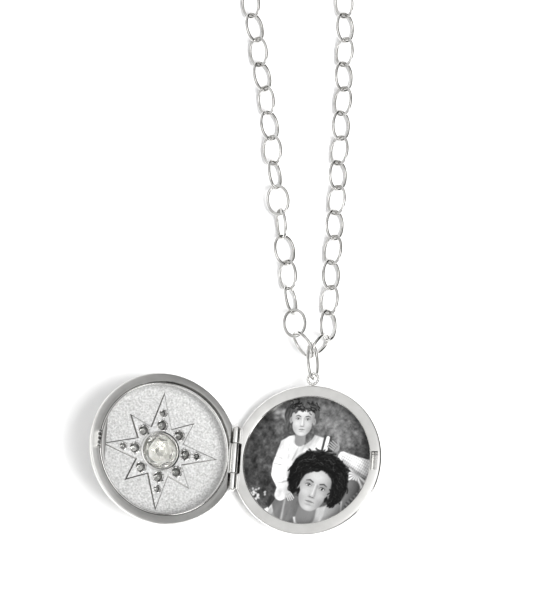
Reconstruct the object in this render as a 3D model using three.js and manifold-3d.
// A round hinged picture locket in silver, lying open on its two domed backs, on an oval-link neck chain.
//
// Part frame: millimetres, +Z up, Z = 0 is the surface that the locket lies on.
// +X runs across the open locket from the lid to the case, and the hinge axis is parallel to Y.
// Each half is modelled in its own frame: origin on the hinge axis, +X towards the middle of the half,
// +Y along the hinge, +Z out of the rim face. Nested groups then turn it into its open posture.

import * as THREE from 'three';
import { mergeVertices } from 'three/addons/utils/BufferGeometryUtils.js';
import Module from 'manifold-3d';

const wasm = await Module();
wasm.setup();

// ---- driving dimensions: millimetres and degrees

const RADIUS = 16; // outside of each half
const HINGE_REACH = 15.4; // hinge axis to the middle of a half
const HINGE_PLACE = { x: -0.19, y: -4.87 }; // hinge centre in the part frame
const CASE_TILT = 15.6; // case rim face above the horizontal
const LID_TILT = 18.2; // lid rim face above the horizontal
const CASE_DEPTH = 4.7; // case rim plane to the top of its dome
const SIDE = 0.9; // depth of the straight side under the rim plane
const FACE = 0.06; // each rim face stands this far back from the hinge axis
const RIM_THICK = 0.94; // soldered rim ring
const JOINT_GAP = 0.04; // between pieces that lie against each other
const ROUND = 60; // steps around a half

const CASE_OPENING = 13.5;
const CASE_INSIDE = { radius: 15.2, wall: 0.8, start: 0.75 }; // hollow behind the picture pocket
const POCKET_RADIUS = 13.65;
const POCKET_DEPTH = 2.85;
const BED_THICK = 0.35;
const PRINT_THICK = 0.2;
const PRINT_RADIUS = 13.45;

const LID_OPENING = 13.7;
const BEAD_FOOT = 0.3; // depth at which the bead around the lid's opening starts
const LID_FLOOR = [
  [0, -3.75], [6.5, -3.66], [10.5, -3.5], [12.6, -3.4], [13.35, -3.05], [LID_OPENING, -2.4]];
const STAR_TOP = 2.85; // back face of the star, under the rim plane
const STAR_RECESS = 0.3; // front face of the star, under the dome
const STAR = { long: 12.1, short: 9.5, notch: 5.3, notchTurn: 24 };
const STAR_CLEARANCE = { long: 0.3, short: 0.2, notch: 0.1 };
const CENTRE_STONE = { radius: 3.6, table: -4.85, crown: 0.95, pavilion: 1.7 };
const ACCENT_SHAPE = { proud: 0.05, crown: 0.32, pavilion: 0.85 }; // crown and pavilion per radius
const BEZEL = { inner: 3.66, outer: 4.2, top: 2.7, bottom: 4.75 };
const LARGE_ACCENT = { radius: 0.85, bore: 0.95, ring: 5.5 };
const SMALL_ACCENT = { radius: 0.5, bore: 0.6, ring: 8.05 };

const KNUCKLE = { radius: 0.82, bore: 0.5, lid: 6.3, case: 3.25, gap: 0.1 };
const OWN_GROOVE = 0.94;
const FREE_GROOVE = 1.25;
const PIN = { radius: 0.42, headRadius: 0.66, headLength: 0.28 };
const STOP_GAP = 0.15; // half of the gap between the two hinge-side stop faces
const STOP_REACH = { x: 6, y: 9, z: 8 }; // block that trims a half back to its stop face

const CATCH = { inner: 14.0, thick: 0.9, width: 3.5, height: 1.25, lip: 0.06, lipFrom: 0.8, lipTo: 1.05 };
const NOTCH = { inner: 13.8, outer: 15.2, width: 3.9, depth: 1.7 };
const LEAF = { thick: 0.14, from: -1.7, to: -0.7, low: -1.6, high: -0.25 };
const LATCH_PLATE = { chord: 12.7, thick: 0.5, set: 0.1 };

const EYELET = { ring: 1.12, wire: 0.34, depth: 0.95 };
const JUMP_RING = { width: 4.6, wire: 0.35, roll: 58 };
const JUMP_RING_NEAR = [14.9, 12.7, 5.97];
const JUMP_RING_FAR = [14.25, 20.52, 4.52];

const LINK = { length: 6.95, width: 5.1, wire: 0.35 };
const LOOP_POWER = 2.1; // shape of a wire loop: an ellipse is 2, a rectangle is far more
const FIRST_LINK_LEFT = { centre: [12.41, 20.15, 4.78], direction: [-0.683, 0.76, -0.239], roll: -66 };
const FIRST_LINK_RIGHT = { centre: [15.89, 20.88, 2.99], direction: [0.531, 0.62, -0.592], roll: 69 };
const CHAIN_RADIUS = 2.2; // plain tube that stands for the links
const COIL = { x: 24.71, y: 134.73, outerLane: 30.5, innerLane: 25, halfLane: 2.6 };
const COIL_END = { outer: -28, inner: -69 }; // where each strand's turn stops, degrees
const COIL_LOW = 0.05;

const LEFT_STRAND = [
  [9.72, 23.67, 2.3], [8.9, 29.57, 2.25], [7.86, 36.67, 2.25], [5.8, 47.17, 2.25], [3.57, 58.47, 2.25],
  [1.63, 69.57, 2.25], [-0.76, 80.37, 2.25], [-3.18, 91.27, 2.25], [-4.6, 97.67, 2.25],
  [-5.5, 104.87, 2.25], [-5.75, 112.87, 2.25], [-5.79, 121.37, 2.25], [-5.79, 134.37, 2.25],
];
const RIGHT_STRAND = [
  [17.4, 23.97, 2.3], [17.2, 30.67, 2.25], [17.15, 41.97, 2.25], [17.2, 53.37, 2.25], [17.05, 64.37, 2.25],
  [17.05, 75.67, 2.25], [16.65, 86.77, 2.25], [16.35, 92.77, 2.25], [15.6, 97.97, 2.25],
  [13.2, 103.97, 2.25], [9.6, 109.77, 2.25], [5.9, 115.57, 2.25], [2.7, 121.57, 2.25],
  [0.6, 127.77, 2.25], [-0.29, 134.37, 2.25],
];

const CLASP = { length: 12, width: 6, thick: 2.4, wall: 1.35, nose: 0.9, lane: 31.3, turn: -51, lift: 0.1 };
const LEVER = { pivot: [-2.3, -1.9], root: 0.85, thick: 1.4, top: -1.05, tip: 3.36, gap: 0.1 };
const LEVER_PIN = { radius: 0.3, play: 0.05, side: 0.06 };
const CLASP_TAIL = { end: -7.6, hole: -6.9, width: 1, thick: 1.7, bore: 0.55 };
const SMALL_RING = { radius: 2.0, wire: 0.35 };
const END_RING = { turn: -75, height: 0.5 }; // on the inner lane, degrees

// ---- finishes

const finishes = {
  silver: new THREE.MeshStandardMaterial({ color: 0xcfcfcc, roughness: 0.3, metalness: 1 }),
  satin: new THREE.MeshStandardMaterial({ color: 0xc4c4c0, roughness: 0.45, metalness: 1 }),
  frosted: new THREE.MeshStandardMaterial({ color: 0xd8d8d6, roughness: 0.6, metalness: 1 }),
  crystal: new THREE.MeshStandardMaterial({ color: 0xe9ebe4, roughness: 0.05, metalness: 0 }),
  print: new THREE.MeshStandardMaterial({ color: 0x6f6f6f, roughness: 0.5, metalness: 0 }),
};

// ---- solids

function signedVolume(position, index) {
  const a = new THREE.Vector3();
  const b = new THREE.Vector3();
  const c = new THREE.Vector3();
  let sum = 0;
  for (let i = 0; i < index.length; i += 3) {
    a.fromBufferAttribute(position, index[i]);
    b.fromBufferAttribute(position, index[i + 1]);
    c.fromBufferAttribute(position, index[i + 2]);
    sum += a.dot(b.cross(c)) / 6;
  }
  return sum;
}

// A closed three.js geometry as a solid, with shared corners merged and faces pointing out.
function solid(geometry) {
  const source = geometry.clone();
  source.deleteAttribute('normal');
  source.deleteAttribute('uv');
  const merged = mergeVertices(source, 1e-4);
  const old = merged.index.array;
  const kept = [];
  for (let i = 0; i < old.length; i += 3) {
    const [a, b, c] = [old[i], old[i + 1], old[i + 2]];
    if (a !== b && b !== c && c !== a) {
      kept.push(a, b, c);
    }
  }
  if (signedVolume(merged.attributes.position, kept) < 0) {
    kept.reverse();
  }
  const vertProperties = new Float32Array(merged.attributes.position.array);
  const triVerts = new Uint32Array(kept);
  return new wasm.Manifold(new wasm.Mesh({ numProp: 3, vertProperties, triVerts }));
}

function node(name, shape, material) {
  const mesh = shape.getMesh();
  const geometry = new THREE.BufferGeometry();
  geometry.setAttribute('position', new THREE.BufferAttribute(new Float32Array(mesh.vertProperties), 3));
  geometry.setIndex(new THREE.BufferAttribute(new Uint32Array(mesh.triVerts), 1));
  const flat = geometry.toNonIndexed();
  flat.computeVertexNormals();
  const item = new THREE.Mesh(flat, material);
  item.name = name;
  return item;
}

const vectors = (points) => points.map(([x, y]) => new THREE.Vector2(x, y));

// Turned solid about a line parallel to Z through (x, y); the profile lists [radius, z].
function turned(profile, steps, x = 0, y = 0) {
  const shape = new THREE.LatheGeometry(vectors(profile), steps);
  shape.rotateX(Math.PI / 2);
  shape.translate(x, y, 0);
  return solid(shape);
}

const turnedHalf = (profile) => turned(profile, ROUND, HINGE_REACH);

function extruded(shape, low, high, curveSegments = 12) {
  const depth = high - low;
  const geometry = new THREE.ExtrudeGeometry(shape, { depth, bevelEnabled: false, curveSegments });
  geometry.translate(0, 0, low);
  return solid(geometry);
}

function box(low, high) {
  const size = high.map((value, i) => value - low[i]);
  const shape = new THREE.BoxGeometry(...size);
  shape.translate(...low.map((value, i) => value + size[i] / 2));
  return solid(shape);
}

// Cylinder along Y about the hinge axis, from one Y to another.
function along(radius, from, to, steps = 20) {
  const shape = new THREE.CylinderGeometry(radius, radius, to - from, steps);
  shape.translate(0, (from + to) / 2, 0);
  return solid(shape);
}

function bore(radius, x, y, low, high, steps = 12) {
  return turned([[0, low], [radius, low], [radius, high], [0, high]], steps, x, y);
}

function circleSection(radius, sides) {
  const shape = new THREE.Shape();
  for (let i = 0; i < sides; i += 1) {
    const turn = (2 * Math.PI * (i + 0.5)) / sides;
    const place = [radius * Math.cos(turn), radius * Math.sin(turn)];
    if (i === 0) {
      shape.moveTo(...place);
    } else {
      shape.lineTo(...place);
    }
  }
  return shape;
}

function tube(curve, radius, sides, steps) {
  return solid(new THREE.ExtrudeGeometry(circleSection(radius, sides), { steps, extrudePath: curve }));
}

// Oval or round wire loop about the origin, its length along X and its width along Y.
class LoopCurve extends THREE.Curve {
  constructor(length, width) {
    super();
    this.a = length / 2;
    this.b = width / 2;
  }

  getPoint(t, target = new THREE.Vector3()) {
    const turn = 2 * Math.PI * t;
    const c = Math.cos(turn);
    const s = Math.sin(turn);
    const x = this.a * Math.sign(c) * Math.abs(c) ** (2 / LOOP_POWER);
    const y = this.b * Math.sign(s) * Math.abs(s) ** (2 / LOOP_POWER);
    return target.set(x, y, 0);
  }
}

// Wire bent into a closed loop: sections around the loop, joined to the first one again.
function wireLoop(length, width, wire, steps = 28, sides = 8) {
  const curve = new LoopCurve(length - 2 * wire, width - 2 * wire);
  const places = [];
  for (let i = 0; i < steps; i += 1) {
    const centre = curve.getPoint(i / steps);
    const tangent = curve.getPoint((i + 0.5) / steps).sub(curve.getPoint((i - 0.5 + steps) / steps));
    const out = new THREE.Vector3(tangent.y, -tangent.x, 0).normalize();
    for (let k = 0; k < sides; k += 1) {
      const turn = (2 * Math.PI * k) / sides;
      const place = centre.clone().addScaledVector(out, wire * Math.cos(turn));
      place.z += wire * Math.sin(turn);
      places.push(place.x, place.y, place.z);
    }
  }
  const index = [];
  for (let i = 0; i < steps; i += 1) {
    for (let k = 0; k < sides; k += 1) {
      const a = i * sides + k;
      const b = i * sides + ((k + 1) % sides);
      const c = ((i + 1) % steps) * sides + k;
      const d = ((i + 1) % steps) * sides + ((k + 1) % sides);
      index.push(a, c, b, b, c, d);
    }
  }
  const geometry = new THREE.BufferGeometry();
  geometry.setAttribute('position', new THREE.Float32BufferAttribute(places, 3));
  geometry.setIndex(index);
  return solid(geometry);
}

// Matrix that lays a loop's length along one direction and rolls its face away from straight up.
function lay(centre, direction, roll) {
  const x = new THREE.Vector3(...direction).normalize();
  const side = new THREE.Vector3(0, 0, 1).cross(x).normalize();
  const up = x.clone().cross(side);
  const turn = THREE.MathUtils.degToRad(roll);
  const y = side.clone().multiplyScalar(Math.cos(turn)).addScaledVector(up, Math.sin(turn));
  const z = x.clone().cross(y);
  return new THREE.Matrix4().makeBasis(x, y, z).setPosition(new THREE.Vector3(...centre));
}

const placed = (shape, matrix) => shape.transform(matrix.elements);

// ---- the domed halves

const DOME_POWER = 3; // 2 would be an ellipse: 3 fills the shoulder out

// Points of a dome from its shoulder to its top: [radius, z].
function dome(radius, depth, steps, from = 0) {
  const points = [];
  for (let i = 0; i <= steps; i += 1) {
    const turn = from + ((Math.PI / 2 - from) * i) / steps;
    const r = i === steps ? 0 : radius * Math.cos(turn) ** (2 / DOME_POWER);
    points.push([r, -SIDE - (depth - SIDE) * Math.sin(turn)]);
  }
  return points;
}

// How far below the hinge axis a dome reaches when its half is tilted.
function lowest(depth, tilt) {
  const t = THREE.MathUtils.degToRad(tilt);
  const heights = dome(RADIUS, depth, 90).map(
    ([r, z]) => (HINGE_REACH - r) * Math.sin(t) + z * Math.cos(t));
  return Math.min(...heights);
}

const HINGE_HEIGHT = -lowest(CASE_DEPTH, CASE_TILT);

// The lid is as deep as lets it touch the same surface as the case.
function depthToTouch(tilt, height) {
  const t = THREE.MathUtils.degToRad(tilt);
  const depths = dome(RADIUS, SIDE + 1, 90).slice(1).map(([r, z]) => {
    const share = -SIDE - z;
    return SIDE + (height + (HINGE_REACH - r) * Math.sin(t) - SIDE * Math.cos(t)) / (share * Math.cos(t));
  });
  return Math.min(...depths.filter((depth) => depth > 0));
}

const LID_DEPTH = depthToTouch(LID_TILT, HINGE_HEIGHT);
const SHELL_TOP = -FACE - RIM_THICK - JOINT_GAP;

const turnedTo = (tilt) => new THREE.Matrix4().makeRotationY(THREE.MathUtils.degToRad(tilt));

// What a half loses at the hinge: its stop face, a close groove for its own knuckles,
// and a wide one for the other half's.
function hingeCut(ownRanges, freeRanges, tilt) {
  const { x, y, z } = STOP_REACH;
  let cut = placed(box([-x, -y, -z], [STOP_GAP, y, z]), turnedTo(tilt));
  for (const [from, to] of ownRanges) {
    cut = cut.add(along(OWN_GROOVE, from, to));
  }
  for (const [from, to] of freeRanges) {
    cut = cut.add(along(FREE_GROOVE, from, to));
  }
  return cut;
}

const LID_KNUCKLE_END = KNUCKLE.lid / 2;
const CASE_KNUCKLE_START = LID_KNUCKLE_END + KNUCKLE.gap;
const CASE_KNUCKLE_END = CASE_KNUCKLE_START + KNUCKLE.case;
const HEAD_END = CASE_KNUCKLE_END + PIN.headLength + 0.1;
const MEETING = LID_KNUCKLE_END + KNUCKLE.gap / 2;
const MIDDLE_RANGE = [[-MEETING, MEETING]];
const END_RANGES = [[MEETING, HEAD_END], [-HEAD_END, -MEETING]];

const caseCut = () => hingeCut(END_RANGES, MIDDLE_RANGE, CASE_TILT);
const lidCut = () => hingeCut(MIDDLE_RANGE, END_RANGES, LID_TILT);

// ---- case: shell, rim, picture, catch notch, hinge knuckles and pin, eyelet

const notchCut = () => box(
  [HINGE_REACH + NOTCH.inner, -NOTCH.width / 2, -NOTCH.depth],
  [HINGE_REACH + NOTCH.outer, NOTCH.width / 2, 1]);

function caseShell() {
  const outer = dome(RADIUS, CASE_DEPTH, 9);
  const { radius, wall, start } = CASE_INSIDE;
  const inner = dome(radius, CASE_DEPTH - wall, 5, start).reverse();
  const profile = [
    [RADIUS, SHELL_TOP], ...outer.slice(1), ...inner,
    [POCKET_RADIUS, -POCKET_DEPTH], [POCKET_RADIUS, SHELL_TOP], [RADIUS, SHELL_TOP]];
  return turnedHalf(profile).subtract(caseCut()).subtract(notchCut());
}

// A rim ring's outer edge, rounded from its face to its side.
const rimEdge = [
  [15.35, -FACE], [15.72, -0.16], [15.93, -0.36], [RADIUS, -0.62], [RADIUS, -FACE - RIM_THICK]];

function caseRim() {
  const profile = [
    [CASE_OPENING + 0.15, -FACE], ...rimEdge, [CASE_OPENING, -FACE - RIM_THICK],
    [CASE_OPENING, -0.2], [CASE_OPENING + 0.15, -FACE]];
  return turnedHalf(profile).subtract(caseCut()).subtract(notchCut());
}

const disc = (radius, low, high) => turnedHalf([[0, low], [radius, low], [radius, high], [0, high]]);

function knuckle(from, to) {
  return along(KNUCKLE.radius, from, to).subtract(along(KNUCKLE.bore, from - 1, to + 1, 16));
}

function hingePin() {
  const head = PIN.headLength;
  const gap = 0.03;
  const end = CASE_KNUCKLE_END + gap;
  return along(PIN.radius, -end - head, end + head, 16)
    .add(along(PIN.headRadius, end, end + head, 16))
    .add(along(PIN.headRadius, -end - head, -end, 16));
}

const EYELET_PLACE = [HINGE_REACH, RADIUS + EYELET.ring + EYELET.wire + JOINT_GAP, -EYELET.depth];

function eyelet() {
  const across = 2 * (EYELET.ring + EYELET.wire);
  const place = new THREE.Matrix4().makeTranslation(...EYELET_PLACE);
  return placed(wireLoop(across, across, EYELET.wire, 24), place);
}

// Small sprung leaf at the outer wall of the notch, that the catch's lip snaps under.
function catchLeaf() {
  const outer = HINGE_REACH + NOTCH.outer - JOINT_GAP;
  return box([outer - LEAF.thick, LEAF.from, LEAF.low], [outer, LEAF.to, LEAF.high]);
}

const caseHalf = new THREE.Group();
caseHalf.rotation.y = -THREE.MathUtils.degToRad(CASE_TILT);
const bedLow = -POCKET_DEPTH + JOINT_GAP;
const printLow = bedLow + BED_THICK + JOINT_GAP;
caseHalf.add(
  node('case_shell', caseShell(), finishes.silver),
  node('case_rim', caseRim(), finishes.satin),
  node('picture_bed', disc(PRINT_RADIUS, bedLow, bedLow + BED_THICK), finishes.satin),
  node('picture_print', disc(PRINT_RADIUS, printLow, printLow + PRINT_THICK), finishes.print),
  node('catch_leaf', catchLeaf(), finishes.silver),
  node('case_knuckle_upper', knuckle(CASE_KNUCKLE_START, CASE_KNUCKLE_END), finishes.silver),
  node('case_knuckle_lower', knuckle(-CASE_KNUCKLE_END, -CASE_KNUCKLE_START), finishes.silver),
  node('hinge_pin', hingePin(), finishes.silver),
  node('bail_eyelet', eyelet(), finishes.silver),
);

// ---- lid: shell with a star-shaped opening, star plate with its stones, rim, catch, knuckle

const BELOW_DOME = -LID_DEPTH - 1;

// Eight-pointed star about the middle of the lid, long points on the axes, short points between them.
function starShape(star) {
  const shape = new THREE.Shape();
  const turns = [];
  for (let quarter = 0; quarter < 4; quarter += 1) {
    const start = quarter * 90;
    turns.push([start, star.long], [start + star.notchTurn, star.notch]);
    turns.push([start + 45, star.short], [start + 90 - star.notchTurn, star.notch]);
  }
  turns.forEach(([turn, radius], i) => {
    const angle = THREE.MathUtils.degToRad(turn);
    const place = [HINGE_REACH + radius * Math.cos(angle), radius * Math.sin(angle)];
    if (i === 0) {
      shape.moveTo(...place);
    } else {
      shape.lineTo(...place);
    }
  });
  return shape;
}

function lidShell() {
  const outer = dome(RADIUS, LID_DEPTH, 9);
  const profile = [
    [RADIUS, SHELL_TOP], ...outer.slice(1), ...LID_FLOOR, [LID_OPENING, SHELL_TOP], [RADIUS, SHELL_TOP]];
  const opening = starShape({
    ...STAR,
    long: STAR.long + STAR_CLEARANCE.long,
    short: STAR.short + STAR_CLEARANCE.short,
    notch: STAR.notch + STAR_CLEARANCE.notch,
  });
  return turnedHalf(profile).subtract(extruded(opening, BELOW_DOME, -STAR_TOP)).subtract(lidCut());
}

// Flat ring with a rounded bead along its opening and a fine groove between the two.
function lidRim() {
  const bottom = -FACE - RIM_THICK;
  const profile = [
    [14.22, -FACE], ...rimEdge, [LID_OPENING, bottom], [LID_OPENING, -BEAD_FOOT], [13.76, -0.14],
    [13.9, -FACE], [14.04, -0.14], [14.12, -0.26], [14.22, -FACE]];
  return turnedHalf(profile).subtract(lidCut());
}

// Segment of a disc that bridges the opening behind the catch.
function latchPlate() {
  const reach = LID_OPENING - JOINT_GAP;
  const half = Math.acos(LATCH_PLATE.chord / reach);
  const shape = new THREE.Shape();
  shape.absarc(HINGE_REACH, 0, reach, -half, half, false);
  shape.closePath();
  const high = -FACE - LATCH_PLATE.set;
  return extruded(shape, high - LATCH_PLATE.thick, high, 10);
}

function lidCatch() {
  const inner = HINGE_REACH + CATCH.inner;
  const outer = inner + CATCH.thick;
  const half = CATCH.width / 2;
  const low = -FACE + JOINT_GAP;
  const body = box([inner, -half, low], [outer, half, low + CATCH.height]);
  const lip = box([outer - 0.1, -half, low + CATCH.lipFrom], [outer + CATCH.lip, half, low + CATCH.lipTo]);
  return body.add(lip);
}

const accents = [];
for (let quarter = 0; quarter < 4; quarter += 1) {
  accents.push({ size: LARGE_ACCENT, turn: quarter * 90, name: `long_point_stone_${quarter + 1}` });
  accents.push({ size: LARGE_ACCENT, turn: quarter * 90 + 45, name: `short_point_stone_${quarter + 1}` });
  accents.push({ size: SMALL_ACCENT, turn: quarter * 90, name: `tip_stone_${quarter + 1}` });
}

const accentPlace = ({ size, turn }) => [
  HINGE_REACH + size.ring * Math.cos(THREE.MathUtils.degToRad(turn)),
  size.ring * Math.sin(THREE.MathUtils.degToRad(turn))];

// Height of the star's front face at a distance from the middle.
function starFront(radius) {
  const depth = LID_DEPTH - STAR_RECESS;
  return -SIDE - (depth - SIDE) * Math.sqrt(1 - (radius / RADIUS) ** DOME_POWER);
}

function starPlate() {
  const front = dome(RADIUS, LID_DEPTH - STAR_RECESS, 9);
  const within = turnedHalf([[0, 0], [RADIUS, 0], ...front]);
  let plate = extruded(starShape(STAR), BELOW_DOME, -STAR_TOP).intersect(within);
  plate = plate.subtract(bore(BEZEL.outer + JOINT_GAP, HINGE_REACH, 0, BELOW_DOME, 0, 32));
  for (const accent of accents) {
    const [x, y] = accentPlace(accent);
    plate = plate.subtract(bore(accent.size.bore, x, y, BELOW_DOME, 0));
  }
  return plate;
}

const bezel = () => turned([
  [BEZEL.inner, -BEZEL.bottom], [BEZEL.outer, -BEZEL.bottom],
  [BEZEL.outer, -BEZEL.top], [BEZEL.inner, -BEZEL.top], [BEZEL.inner, -BEZEL.bottom]], 32, HINGE_REACH);

// Round faceted stone: its table faces the front of the lid, its point faces the inside.
function stone({ radius, table, crown, pavilion }, facets, x, y) {
  const girdle = 0.06 * radius;
  return turned([
    [0, table], [0.58 * radius, table], [radius, table + crown],
    [radius, table + crown + girdle], [0, table + crown + girdle + pavilion]], facets, x, y);
}

const lidHalf = new THREE.Group();
lidHalf.rotation.z = Math.PI;
lidHalf.add(
  node('lid_shell', lidShell(), finishes.frosted),
  node('lid_rim', lidRim(), finishes.satin),
  node('lid_latch_plate', latchPlate(), finishes.satin),
  node('lid_catch', lidCatch(), finishes.silver),
  node('star_plate', starPlate(), finishes.frosted),
  node('centre_bezel', bezel(), finishes.silver),
  node('centre_stone', stone(CENTRE_STONE, 12, HINGE_REACH, 0), finishes.crystal),
  node('lid_knuckle', knuckle(-LID_KNUCKLE_END, LID_KNUCKLE_END), finishes.silver),
);
for (const accent of accents) {
  const [x, y] = accentPlace(accent);
  const { radius, ring } = accent.size;
  const shape = {
    radius,
    table: starFront(ring) + ACCENT_SHAPE.proud,
    crown: ACCENT_SHAPE.crown * radius,
    pavilion: ACCENT_SHAPE.pavilion * radius,
  };
  lidHalf.add(node(accent.name, stone(shape, 8, x, y), finishes.crystal));
}

const lidTurn = new THREE.Group();
lidTurn.rotation.y = THREE.MathUtils.degToRad(LID_TILT);
lidTurn.add(lidHalf);

const body = new THREE.Group();
body.position.set(HINGE_PLACE.x, HINGE_PLACE.y, HINGE_HEIGHT);
body.add(caseHalf, lidTurn);

// ---- neck chain: jump ring, first link of each strand, strands, coil, clasp

const between = (a, b, share) => a.map((value, i) => value + (b[i] - value) * share);
const difference = (a, b) => b.map((value, i) => value - a[i]);

function jumpRingMatrix() {
  const centre = between(JUMP_RING_NEAR, JUMP_RING_FAR, 0.5);
  return lay(centre, difference(JUMP_RING_NEAR, JUMP_RING_FAR), JUMP_RING.roll);
}

function jumpRing() {
  const reach = Math.hypot(...difference(JUMP_RING_NEAR, JUMP_RING_FAR));
  return placed(wireLoop(reach + 2 * JUMP_RING.wire, JUMP_RING.width, JUMP_RING.wire), jumpRingMatrix());
}

// An oval link threaded on the jump ring.
function firstLink({ centre, direction, roll }) {
  return placed(wireLoop(LINK.length, LINK.width, LINK.wire), lay(centre, direction, roll));
}

function strand(points) {
  const curve = new THREE.CatmullRomCurve3(points.map((point) => new THREE.Vector3(...point)));
  return tube(curve, CHAIN_RADIUS, 8, 22);
}

// The coiled length of both strands: two lanes side by side, each ending at its own place.
function chainCoil() {
  const { x, y, outerLane, innerLane, halfLane } = COIL;
  const outside = outerLane + halfLane;
  const step = (outerLane + innerLane) / 2;
  const inside = innerLane - halfLane;
  const first = THREE.MathUtils.degToRad(COIL_END.outer);
  const second = THREE.MathUtils.degToRad(COIL_END.inner);
  const shape = new THREE.Shape();
  shape.absarc(x, y, outside, Math.PI, first, true);
  shape.absarc(x, y, step, first, second, true);
  shape.absarc(x, y, inside, second, Math.PI, false);
  shape.closePath();
  return extruded(shape, COIL_LOW, 2 * CHAIN_RADIUS, 22);
}

function ellipse(x, y, a, b, steps = 36) {
  const points = [];
  for (let i = 0; i < steps; i += 1) {
    const turn = (2 * Math.PI * i) / steps;
    points.push([x + a * Math.cos(turn), y + b * Math.sin(turn)]);
  }
  return points;
}

// The clasp's own frame has +X towards its nose and the lever along its -Y side.
function claspOutline() {
  const shape = new THREE.Shape(vectors(ellipse(0, 0, CLASP.length / 2, CLASP.width / 2)));
  const { length, width, wall, nose } = CLASP;
  const window = ellipse(nose, 0, length / 2 - wall - nose, width / 2 - wall, 24);
  shape.holes.push(new THREE.Path(vectors(window)));
  return extruded(shape, -CLASP.thick / 2, CLASP.thick / 2);
}

const aboutPivot = (radius, half) => bore(radius, ...LEVER.pivot, -half, half, 20);

// The stretch of the clasp's open side that the lever closes, from its pivot to its tip.
function leverSide(grow, half) {
  const [x] = LEVER.pivot;
  return box([x, -CLASP.width, -half], [LEVER.tip + grow, LEVER.top + grow, half]);
}

// The space that the lever fills, grown by a clearance.
function leverSpace(grow, half) {
  return leverSide(grow, half).add(aboutPivot(LEVER.root + grow, half));
}

const pinBore = () => aboutPivot(LEVER_PIN.radius + LEVER_PIN.play, CLASP.thick);

// Hooked body with a tail for the ring and two cheeks that hold the lever's pin.
function claspBody() {
  const { end, hole, width, thick, bore: radius } = CLASP_TAIL;
  const tail = box([end, -width / 2, -thick / 2], [-CLASP.length / 2 + 0.5, width / 2, thick / 2]);
  const across = new THREE.CylinderGeometry(radius, radius, 3 * width, 14);
  across.translate(hole, 0, 0);
  const hook = claspOutline().subtract(leverSide(LEVER.gap, CLASP.thick));
  const slot = leverSpace(LEVER.gap, LEVER.thick / 2 + LEVER_PIN.side);
  const cheeks = aboutPivot(LEVER.root, CLASP.thick / 2).add(hook).subtract(slot);
  return cheeks.add(tail).subtract(solid(across)).subtract(pinBore());
}

function claspLever() {
  const half = LEVER.thick / 2;
  const arm = claspOutline().intersect(leverSpace(0, half));
  return arm.add(aboutPivot(LEVER.root, half)).subtract(pinBore());
}

const claspPin = () => aboutPivot(LEVER_PIN.radius, CLASP.thick / 2);

// Clockwise along the coil, seen from above: where a piece on a lane points, in radians.
const heading = (degrees) => THREE.MathUtils.degToRad(degrees - 90);

function onLane(lane, degrees, height) {
  const turn = THREE.MathUtils.degToRad(degrees);
  const place = new THREE.Vector3(COIL.x + lane * Math.cos(turn), COIL.y + lane * Math.sin(turn), height);
  return new THREE.Matrix4().makeRotationZ(heading(degrees)).setPosition(place);
}

const onClasp = (shape) => placed(shape, onLane(CLASP.lane, CLASP.turn, CLASP.thick / 2 + CLASP.lift));

function smallRing() {
  const across = 2 * (SMALL_RING.radius + SMALL_RING.wire);
  return wireLoop(across, across, SMALL_RING.wire, 20);
}

function claspRing() {
  const centre = new THREE.Matrix4().makeTranslation(CLASP_TAIL.hole - SMALL_RING.radius, 0, 0);
  return onClasp(placed(smallRing(), centre));
}

const endRing = () => placed(smallRing(), onLane(COIL.innerLane, END_RING.turn, END_RING.height));

const chain = new THREE.Group();
chain.add(
  node('jump_ring', jumpRing(), finishes.silver),
  node('first_link_left', firstLink(FIRST_LINK_LEFT), finishes.silver),
  node('first_link_right', firstLink(FIRST_LINK_RIGHT), finishes.silver),
  node('chain_left', strand(LEFT_STRAND), finishes.silver),
  node('chain_right', strand(RIGHT_STRAND), finishes.silver),
  node('chain_coil', chainCoil(), finishes.silver),
  node('clasp_body', onClasp(claspBody()), finishes.silver),
  node('clasp_lever', onClasp(claspLever()), finishes.silver),
  node('clasp_pin', onClasp(claspPin()), finishes.silver),
  node('clasp_ring', claspRing(), finishes.silver),
  node('end_ring', endRing(), finishes.silver),
);

const locket = new THREE.Group();
locket.add(body, chain);

export default locket;
